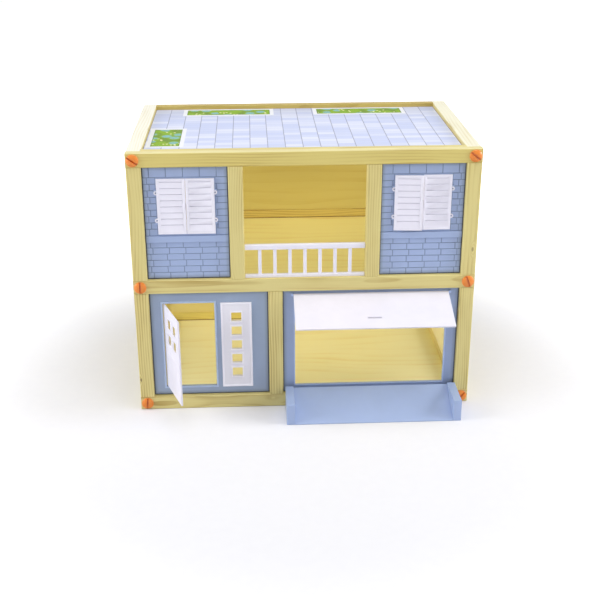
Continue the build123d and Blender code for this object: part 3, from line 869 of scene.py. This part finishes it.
def eased(piece, width=moulded_ease, steps=2):
    """Rounds every sharp edge and leaves the piece in object mode."""
    bpy.ops.object.mode_set(mode="OBJECT")
    bevel = piece.modifiers.new("ease", "BEVEL")
    bevel.width = width
    bevel.segments = steps
    bevel.limit_method = "ANGLE"
    bevel.angle_limit = ease_angle
    bevel.use_clamp_overlap = False
    bpy.ops.object.modifier_apply(modifier=bevel.name)
    on_whole_mesh(bpy.ops.mesh.dissolve_degenerate, threshold=least_edge)
    bpy.ops.object.shade_smooth_by_angle(angle=smooth_angle)
    flats = piece.modifiers.new("flats", "WEIGHTED_NORMAL")
    flats.keep_sharp = True
    bpy.ops.object.modifier_apply(modifier=flats.name)
    return piece


def copy_of(pattern, name):
    piece = pattern.copy()
    piece.data = pattern.data.copy()
    piece.name = name
    bpy.context.scene.collection.objects.link(piece)
    return piece


def put(piece, place, turn=(0, 0, 0), mirrored=False):
    """Sets a piece in its place and keeps that place in its mesh."""
    bpy.ops.object.select_all(action="DESELECT")
    piece.select_set(True)
    bpy.context.view_layer.objects.active = piece
    piece.location = place
    piece.rotation_euler = turn
    piece.scale.x = -1 if mirrored else 1
    bpy.ops.object.transform_apply(location=True, rotation=True, scale=True)
    if mirrored:
        on_whole_mesh(bpy.ops.mesh.normals_make_consistent, inside=False)
    return piece


def dress(piece, material, node, body="house"):
    """Gives a piece its finish, and sets it on its body in place of a node."""
    piece.data.materials.clear()
    piece.data.materials.append(material)
    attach(piece, body)
    slot_of(node)
    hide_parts(node)


# Panels

def bay_panel(name, deeper=0.0):
    """The body of a panel, with the tongue that sits in the grooves of its bay."""
    x, z = (grown(pair, -panel_gap) for pair in bays[name])
    piece = slab(name + "_moulding", x, (panel_y[0] + deeper, panel_y[1]), z)
    tongue_y = about(sum(panel_y) / 2, tongue_thick)
    for place in tongue_y:
        cut("Y", place)
    pick(lambda middle, normal: abs(normal.y) < leaning and tongue_y[0] < middle.y < tongue_y[1])
    lift(panel_gap + tongue_depth)
    return piece


def lay_bricks(name, fields):
    """Cuts the bare fields of a panel into courses and bricks, and raises the bricks to its face."""
    bay_x, bay_z = bays[name]
    foot = bay_z[0] + panel_gap
    stile, inward = (bay_x[0], 1) if sum(bay_x) < 0 else (bay_x[1], -1)
    mortar_y = panel_y[0] + mortar_depth
    courses = [foot + row * course_pitch for row in range(int((bay_z[1] - foot) / course_pitch) + 1)]
    bricks = range(int((bay_x[1] - bay_x[0]) / brick_pitch) + 1)

    def bare(x, z):
        looks = facing(x, z)
        return lambda middle, normal: looks(middle, normal) and abs(middle.y - mortar_y) < same_place

    for field_x, field_z in fields:
        pick(bare(field_x, field_z))
        bpy.ops.mesh.dissolve_faces()
        for bed in courses:
            if field_z[0] + least_brick < bed < field_z[1] - least_course:
                cut("Z", bed, bare(field_x, field_z))
        joint_x = grown(field_x, -least_brick / 2)
        for row, bed in enumerate(courses):
            course_z = (max(bed, field_z[0]), min(bed + course_pitch, field_z[1]))
            for brick in bricks:
                joint = stile + inward * (first_joint + brick * brick_pitch - row % 2 * bond_shift)
                if course_z[0] < course_z[1] and joint_x[0] < joint < joint_x[1]:
                    cut("X", joint, bare(field_x, course_z))
    pick(bare(bay_x, bay_z))
    bpy.ops.mesh.inset(thickness=mortar_width / 2, use_individual=True)
    bpy.ops.mesh.inset(thickness=brick_slope, depth=mortar_depth, use_individual=True)


def brick_panel(name, hinges):
    """A panel with a window, a sill over its full width, bricks, and ears for the shutters' pins."""
    piece = bay_panel(name, mortar_depth)
    x, z = (grown(pair, -panel_gap) for pair in bays[name])
    window_x = about(sum(x) / 2, window_side)
    window_z = about(hinges[0].z, window_side)
    sill_z = (window_z[0] - sill_drop - sill_height, window_z[0] - sill_drop)
    head = z[0] + (int((window_z[1] - z[0]) / course_pitch) + 1) * course_pitch
    border = grown(window_x, window_border)
    pierce(window_x, window_z)
    cut_round(border, (*sill_z, head), facing(x, z))
    pick(facing(border, (sill_z[1], head)))
    lift(mortar_depth)
    pick(facing(x, sill_z))
    lift(mortar_depth + sill_rise)
    sill_middle = panel_y[0] - sill_rise / 2
    round_edges(lambda middle, way: abs(way.x) > aligned and middle.y < sill_middle, sill_round, steps=3)
    lay_bricks(name, [
        (x, (z[0], sill_z[0])),
        (x, (head, z[1])),
        ((x[0], border[0]), (sill_z[1], head)),
        ((border[1], x[1]), (sill_z[1], head)),
    ])
    near = hinge_spacing / 2 + lug_height / 2 + ear_gap
    for hinge in hinges:
        ear_y = (hinge.y - lug_thick / 2, panel_y[0] + mortar_depth)
        for ear_foot in (-near - ear_height, near):
            ear_z = (hinge.z + ear_foot, hinge.z + ear_foot + ear_height)
            block(about(hinge.x, lug_thick), ear_y, ear_z)
    return eased(piece)


def door_panel():
    """A panel with a beaded doorway and the slot of the side window."""
    piece = bay_panel("door_panel")
    framed_opening(doorway_x, doorway_z, bead_width, bead_rise, slope=bead_slope)
    pierce(*spigot_sides())
    return eased(piece)


def garage_panel():
    """A panel with the garage opening, and the ears of the flap."""
    piece = bay_panel("garage_panel")
    framed_opening(garage_x, garage_z, garage_bead_width, garage_bead_rise)
    hinge = pivots["garage_door"]
    ear_y = (hinge.y - flap_ear_radius, panel_y[0] + panel_thick / 2)
    ear_z = about(hinge.z, 2 * flap_ear_radius)
    for side, end in ((-1, garage_x[0]), (1, garage_x[1])):
        near = end + side * (flap_overlap + flap_end_gap)
        ear_x = sorted((near, near + side * flap_ear_width))
        block(ear_x, ear_y, ear_z)
    return eased(piece)


# Moving leaves

def shutter_leaf():
    """A louvred leaf on its hinge axis, which is the Z axis here, with the leaf along +X."""
    x = (hinge_edge, hinge_edge + leaf_width)
    z = about(0, leaf_height)
    piece = slab("shutter_pattern", x, about(0, leaf_thick), z)
    round_edges(lambda middle, way: abs(way.z) > aligned and middle.x > sum(x) / 2 and middle.y < 0,
                meeting_slope, steps=1)
    for side in (-1, 1):
        pick(facing(x, z, side))
        bpy.ops.mesh.inset(thickness=leaf_rim)
        bpy.ops.mesh.inset(thickness=rim_step, depth=-rim_step)
    frame_width = leaf_rim + rim_step + louvre_border
    louvre(grown(x, -frame_width), grown(z, -frame_width))
    latch_x = (x[1] - latch_edge - latch_width, x[1] - latch_edge)
    latch_y = (-leaf_thick / 2 - latch_rise, -leaf_thick / 2 + rim_step)
    block(latch_x, latch_y, about(0, latch_height))
    pin_root = hinge_spacing / 2 + (ring_radius + ring_hole) / 2
    pin_end = (hinge_spacing + lug_height) / 2 + ear_gap + ear_height
    for end in (-1, 1):
        hinge_ring(Vector((ring_reach, 0, end * hinge_spacing / 2)))
        rod((0, 0, end * (pin_end + pin_root) / 2), hinge_pin_radius, pin_end - pin_root)
    return eased(piece, louvre_ease)


def louvre(x, z):
    """Sloping slats with grooves between them, on the front of the leaf that is being edited."""
    pick(facing(x, z))
    bpy.ops.mesh.inset(thickness=louvre_border - slat_gap)
    field = facing(grown(x, slat_gap), grown(z, slat_gap))
    for end in x:
        cut("X", end, field)
    pitch = (z[1] - z[0]) / louvre_count
    tops = [z[1] - row * pitch for row in range(louvre_count)]
    for top in tops:
        for edge in (top + slat_gap, top, top - slat_gap):
            cut("Z", edge, field)
    near_x = grown(x, slat_gap / 4)
    for top in tops:
        for edge, move in ((top, groove_depth), (top - slat_gap, slat_slant)):
            near_z = grown((edge, edge), slat_gap / 4)
            pick(lambda place, _: place.y < 0 and inside(place, near_x, near_z), "VERT")
            bpy.ops.transform.translate(value=(0, move, 0))


def hinge_ring(place):
    """A ring on the edge of a leaf, in the mesh that is being edited."""
    rod(place, ring_radius, ring_thick, to_front, ring_sides)
    pick(lambda middle, normal: abs(normal.y) > aligned and (middle - place).length < ring_thick)
    bpy.ops.mesh.inset(thickness=ring_radius - ring_hole)
    bpy.ops.mesh.bridge_edge_loops()


def door_leaf():
    """The door on its hinge axis, with four panes and a raised field below them."""
    z = grown(doorway_z, -door_gap)
    x = (-door_thick / 2, door_width)
    piece = slab("door_leaf_moulding", x, about(0, door_thick), z)
    pane_side = (door_width - 2 * pane_width - door_pane_gap) / 2
    for left in (pane_side, pane_side + pane_width + door_pane_gap):
        for top in (z[1] - door_pane_top, z[1] - door_pane_top - door_pane_pitch):
            pierce((left, left + pane_width), (top - pane_height, top), door_pane_splay)
    panes_foot = z[1] - door_pane_top - door_pane_pitch - pane_height
    field_x = (door_field_margin, door_width - door_field_margin)
    field_z = (z[0] + door_field_margin, panes_foot - door_field_drop)
    for side in (-1, 1):
        cut_round(field_x, field_z, facing(x, z, side))
        pick(facing(field_x, field_z, side))
        bpy.ops.mesh.inset(thickness=field_slope, depth=door_field_rise)
    hinged_edge = x[0] + same_place
    round_edges(lambda middle, way: middle.x < hinged_edge and abs(way.z) > aligned, door_nose, steps=4)
    pin_length = door_gap + door_pin_length
    for end, side in ((z[0], -1), (z[1], 1)):
        rod((0, 0, end + side * pin_length / 2), door_pin_radius, pin_length)
    return eased(piece)


def garage_flap():
    """The flap on its hinge axis, which is the X axis here, hanging down."""
    x = grown(garage_x, flap_overlap)
    z = (-flap_length, flap_thick / 2)
    piece = slab("garage_flap_moulding", x, about(0, flap_thick), z)
    framed_opening(about(sum(x) / 2, slit_width), about(-slit_drop, slit_height), slit_rim, slit_rise)
    upper_edge = z[1] - same_place
    round_edges(lambda middle, way: middle.z > upper_edge and abs(way.x) > aligned, flap_nose, steps=5)
    for end, side in ((x[0], -1), (x[1], 1)):
        rod((end + side * flap_pin_length / 2, 0, 0), flap_pin_radius, flap_pin_length, to_side)
    return eased(piece)


# Fixed plastic pieces

def side_panes():
    """Places of the side window's panes, from the lowest."""
    x, _, z = span("sidelight")
    pane_x = about(sum(x) / 2, pane_width)
    first = z[0] + sidelight_pane_foot
    last = z[1] - sidelight_pane_top - pane_height
    pitch = (last - first) / (sidelight_pane_count - 1)
    feet = [first + row * pitch for row in range(sidelight_pane_count)]
    return [(pane_x, (foot, foot + pane_height)) for foot in feet]


def spigot_sides():
    """Sides of the side window's spigot, which fills a slot in the door panel."""
    panes = side_panes()
    return grown(panes[0][0], spigot_wall), grown((panes[0][1][0], panes[-1][1][1]), spigot_wall)


def sidelight():
    """The side window: a plate with a raised border, framed panes, and a spigot in the panel's slot."""
    x, y, z = span("sidelight")
    piece = slab("sidelight_moulding", x, (y[0], panel_y[0]), z)
    pick(facing(x, z))
    bpy.ops.mesh.inset(thickness=sidelight_border)
    bpy.ops.mesh.inset(thickness=rim_step, depth=-sidelight_rise)
    spigot = spigot_sides()
    cut_round(*spigot, facing(x, z, 1))
    pick(facing(*spigot, 1))
    lift(y[1] - panel_y[0])
    for pane_x, pane_z in side_panes():
        framed_opening(pane_x, pane_z, sidelight_pane_rim, sidelight_rise)
    return eased(piece)


def balcony_railing():
    """A round-edged handrail and a foot, with balusters between them."""
    x = grown((high["front_post_upper_left"].x, low["front_post_upper_right"].x), -railing_gap)
    _, y, (_, top) = span("balcony_railing")
    middle_y = sum(y) / 2
    handrail_z = (top - handrail_height, top)
    piece = slab("balcony_railing_moulding", x, about(middle_y, handrail_depth), handrail_z)
    round_edges(lambda middle, way: abs(way.x) > aligned, handrail_round, steps=4)
    foot_z = (upper_z[0], upper_z[0] + foot_height)
    block(x, about(middle_y, foot_depth), foot_z)
    pitch = (x[1] - x[0] + 2 * railing_gap) / (baluster_count + 1)
    baluster_y = about(middle_y, baluster_depth)
    baluster_z = (foot_z[1], handrail_z[0])
    for index in range(baluster_count):
        baluster_x = about(x[0] - railing_gap + (index + 1) * pitch, baluster_width)
        block(baluster_x, baluster_y, baluster_z)
    return eased(piece, railing_ease)


def garage_ramp():
    """A sloping sheet between two curbs, hooked over the bottom rail."""
    x, (toe, hook), (_, curb_top) = span("garage_ramp")
    slope_x = grown(x, -curb_width)
    y = (toe, frame_face)
    half_y = sum(y) / 2
    top = curb_top - curb_rise
    piece = slab("garage_ramp_moulding", slope_x, y, (0, top))
    pick(lambda middle, way: abs(way.x) > aligned and middle.z > top / 2 and middle.y < half_y, "EDGE")
    bpy.ops.transform.translate(value=(0, 0, ramp_toe - top))
    pick(lambda middle, way: abs(way.x) > aligned and middle.z < ramp_toe / 2 and middle.y > half_y, "EDGE")
    bpy.ops.transform.translate(value=(0, 0, top - ramp_wall))
    rail_top = high["front_bottom_rail"].z
    back_y = (y[1] - ramp_wall, y[1])
    block(slope_x, back_y, (rail_top - ramp_wall, top - ramp_wall / 2))
    block(slope_x, (back_y[0], hook), (rail_top, rail_top + ramp_hook_height))
    for curb_x in ((x[0], slope_x[0]), (slope_x[1], x[1])):
        block(curb_x, y, (0, curb_top))
        near_x = grown(curb_x, same_place)
        round_edges(lambda middle, way: near_x[0] < middle.x < near_x[1]
                    and (middle.z > top + curb_rise / 2 or middle.y < y[0] + same_place), curb_ease, steps=3)
    return eased(piece)


def screw():
    """A slotted screw along +Y, with the seat of its head at the origin and the slot along X."""
    bpy.ops.object.select_all(action="DESELECT")
    rod((0, -screw_rim / 2, 0), screw_radius, screw_rim, to_front, screw_sides)
    piece = in_edit_mode("screw_pattern")
    pick(lambda middle, normal: normal.y < -aligned)
    for width, rise in screw_crown:
        bpy.ops.mesh.inset(thickness=width, depth=rise)
    crown = screw_rim + sum(rise for _, rise in screw_crown)
    for place in about(0, screw_slot_width):
        cut("Z", place, lambda middle, normal: normal.y < -leaning)
    pick(lambda middle, normal: normal.y < -leaning and abs(middle.z) < screw_slot_width / 2)
    bpy.ops.mesh.extrude_region_move(TRANSFORM_OT_translate={"value": (0, screw_slot_depth, 0)})
    slot_floor = (0, screw_slot_depth - crown, 0)
    bpy.ops.transform.resize(value=(1, 0, 1), center_override=slot_floor)
    pick(lambda middle, normal: normal.y > aligned and middle.y > -same_place)
    bpy.ops.mesh.inset(thickness=screw_radius - screw_shank_radius)
    lift(screw_length)
    return eased(piece, screw_ease)


# Pieces in their places

def panel_finish(name):
    """Blue plastic: painted shade in a brick panel's mortar, and a painted highlight on the bead round another's
    opening.
    """
    beads = {"door_panel": (door_blue, bead_rise), "garage_panel": (blue_plastic, garage_bead_rise)}
    if name in beads:
        colour, rise = beads[name]
        # Painted highlight on the front of the bead
        bead_highlight = (panel_y[0] - rise, panel_y[0] - rise / 2)
        return moulded("blue_" + name, colour, bay=bays[name], bead_highlight=bead_highlight)
    # Painted shade in the mortar between the bricks
    mortar = (panel_y[0], panel_y[0] + mortar_depth)
    # The brick panels take the paler blue: painted light
    return moulded("blue_" + name, brick_blue_lit, recess=mortar, bay=bays[name])


def build_windows(white):
    """The two brick panels, each with its pair of shutters."""
    windows = {
        "left": ("left_window_outer_shutter", "left_window_inner_shutter"),
        "right": ("right_window_inner_shutter", "right_window_outer_shutter"),
    }
    pattern = shutter_leaf()
    for side, bodies in windows.items():
        hinges = [pivots[body] for body in bodies]
        panel = "brick_panel_" + side
        dress(brick_panel(panel, hinges), panel_finish(panel), panel)
        for body, hinge, mirrored in zip(bodies, hinges, (False, True)):
            node = "shutter_" + body.replace("_window", "").replace("_shutter", "")
            turn = -shutter_ajar if node == "shutter_right_inner" else 0
            piece = put(copy_of(pattern, node + "_moulding"), hinge, (0, 0, turn), mirrored)
            dress(piece, white, node, body)
    bpy.data.objects.remove(pattern)


def build_doors():
    """The door and the garage flap, open as they rest."""
    # The door and the flap take the darker white: painted shade
    white = moulded("door_plastic", door_white_shaded, white_roughness)
    door_foot = Vector((pivots["door"].x, pivots["door"].y, 0))
    dress(put(door_leaf(), door_foot, (0, 0, -door_ajar)), white, "door_leaf", "door")
    flap_axis = Vector((0, pivots["garage_door"].y, pivots["garage_door"].z))
    dress(put(garage_flap(), flap_axis, (-flap_ajar, 0, 0)), white, "garage_flap", "garage_door")


def build_screws():
    """Six screws, each with its slot turned as it was left."""
    orange = moulded("orange_plastic", orange_plastic, screw_roughness)
    pattern = screw()
    for (side, rail), turn in screw_turns.items():
        node = f"front_{rail}_rail"
        (left, right), _, z = span(node)
        x = left + screw_edge if side == "left" else right - screw_edge
        place = (x, frame_face, sum(z) / 2)
        piece = put(copy_of(pattern, f"screw_{side}_{rail}"), place, (0, math.radians(-turn), 0))
        dress(piece, orange, "front_screws")
    bpy.data.objects.remove(pattern)


def build_pieces():
    white = moulded("white_plastic", white_plastic, white_roughness)
    build_windows(white)
    dress(door_panel(), panel_finish("door_panel"), "door_panel")
    dress(garage_panel(), panel_finish("garage_panel"), "garage_panel")
    border_y = low["sidelight"].y
    # Painted shade in the side window's sunken field and round its panes
    field = (border_y + sidelight_rise / 2, border_y + sidelight_rise)
    # The side window's white is a paler copy: painted light
    panes = moulded("sidelight_plastic", sidelight_white_lit, white_roughness, recess=field, recess_shade=field_shade)
    dress(sidelight(), panes, "sidelight")
    dress(balcony_railing(), white, "balcony_railing")
    dress(garage_ramp(), moulded("ramp_plastic", ramp_blue), "garage_ramp")
    build_doors()
    build_screws()


# Floor, light and camera

def lay_floor():
    """White paper that shows shadows near the house and fades to plain white."""
    bpy.ops.object.select_all(action="DESELECT")
    bpy.ops.mesh.primitive_plane_add(size=floor_size, location=(0, 0, -floor_drop))
    floor = bpy.context.object
    floor.name = "floor"
    paper = Finish(bpy.data.materials.new("floor_paper"))
    place = paper.place()
    x, y, _ = paper.axes(place)
    colour = paper.mix(paper.noise(place, paper_grain, 3.0), linear(floor_pale), linear(floor_grey))
    away = paper.ramp((x * x + y * y).root(), floor_near, floor_far, floor_glow, 1.0)
    glow = paper.on_background_rays() * away
    floor.data.materials.append(paper.surface(base_color=colour, roughness=0.9, emission_strength=1.0,
                                              emission_color=paper.vector(glow, glow, glow)))


def light_room():
    """A soft world that looks plain white, and the lamps."""
    world = Finish(bpy.data.worlds.new("studio"))
    bpy.context.scene.world = world.owner
    soft = world.node("ShaderNodeBackground", inputs={"Color": world_tint, "Strength": world_level})
    white = world.node("ShaderNodeBackground", inputs={"Color": background_white, "Strength": 1.0})
    choice = world.node("ShaderNodeMixShader", inputs={"Fac": world.on_background_rays(), 1: soft, 2: white})
    world.feed(world.tree.nodes["World Output"].inputs["Surface"], choice)
    for name, (place, size, power) in lamps.items():
        lamp = bpy.data.objects.new(name, bpy.data.lights.new(name, "AREA"))
        bpy.context.scene.collection.objects.link(lamp)
        lamp.location = place
        lamp.rotation_euler = (lamp_aim - place).to_track_quat("-Z", "Y").to_euler()
        lamp.data.shape = "DISK"
        lamp.data.size = size
        lamp.data.energy = power


def set_camera():
    camera = bpy.data.objects.new("photo_camera", bpy.data.cameras.new("photo_camera"))
    bpy.context.scene.collection.objects.link(camera)
    turn = Matrix.Rotation(-camera_yaw, 4, "Z") @ Matrix.Rotation(math.pi / 2 - camera_pitch, 4, "X")
    camera.matrix_world = Matrix.Translation(camera_place) @ turn @ Matrix.Rotation(camera_roll, 4, "Z")
    camera.data.lens = camera_lens
    camera.data.clip_end = camera_reach
    bpy.context.scene.camera = camera


finish_solids()
build_pieces()
lay_floor()
light_room()
set_camera()
bpy.context.scene.view_settings.view_transform = "Standard"
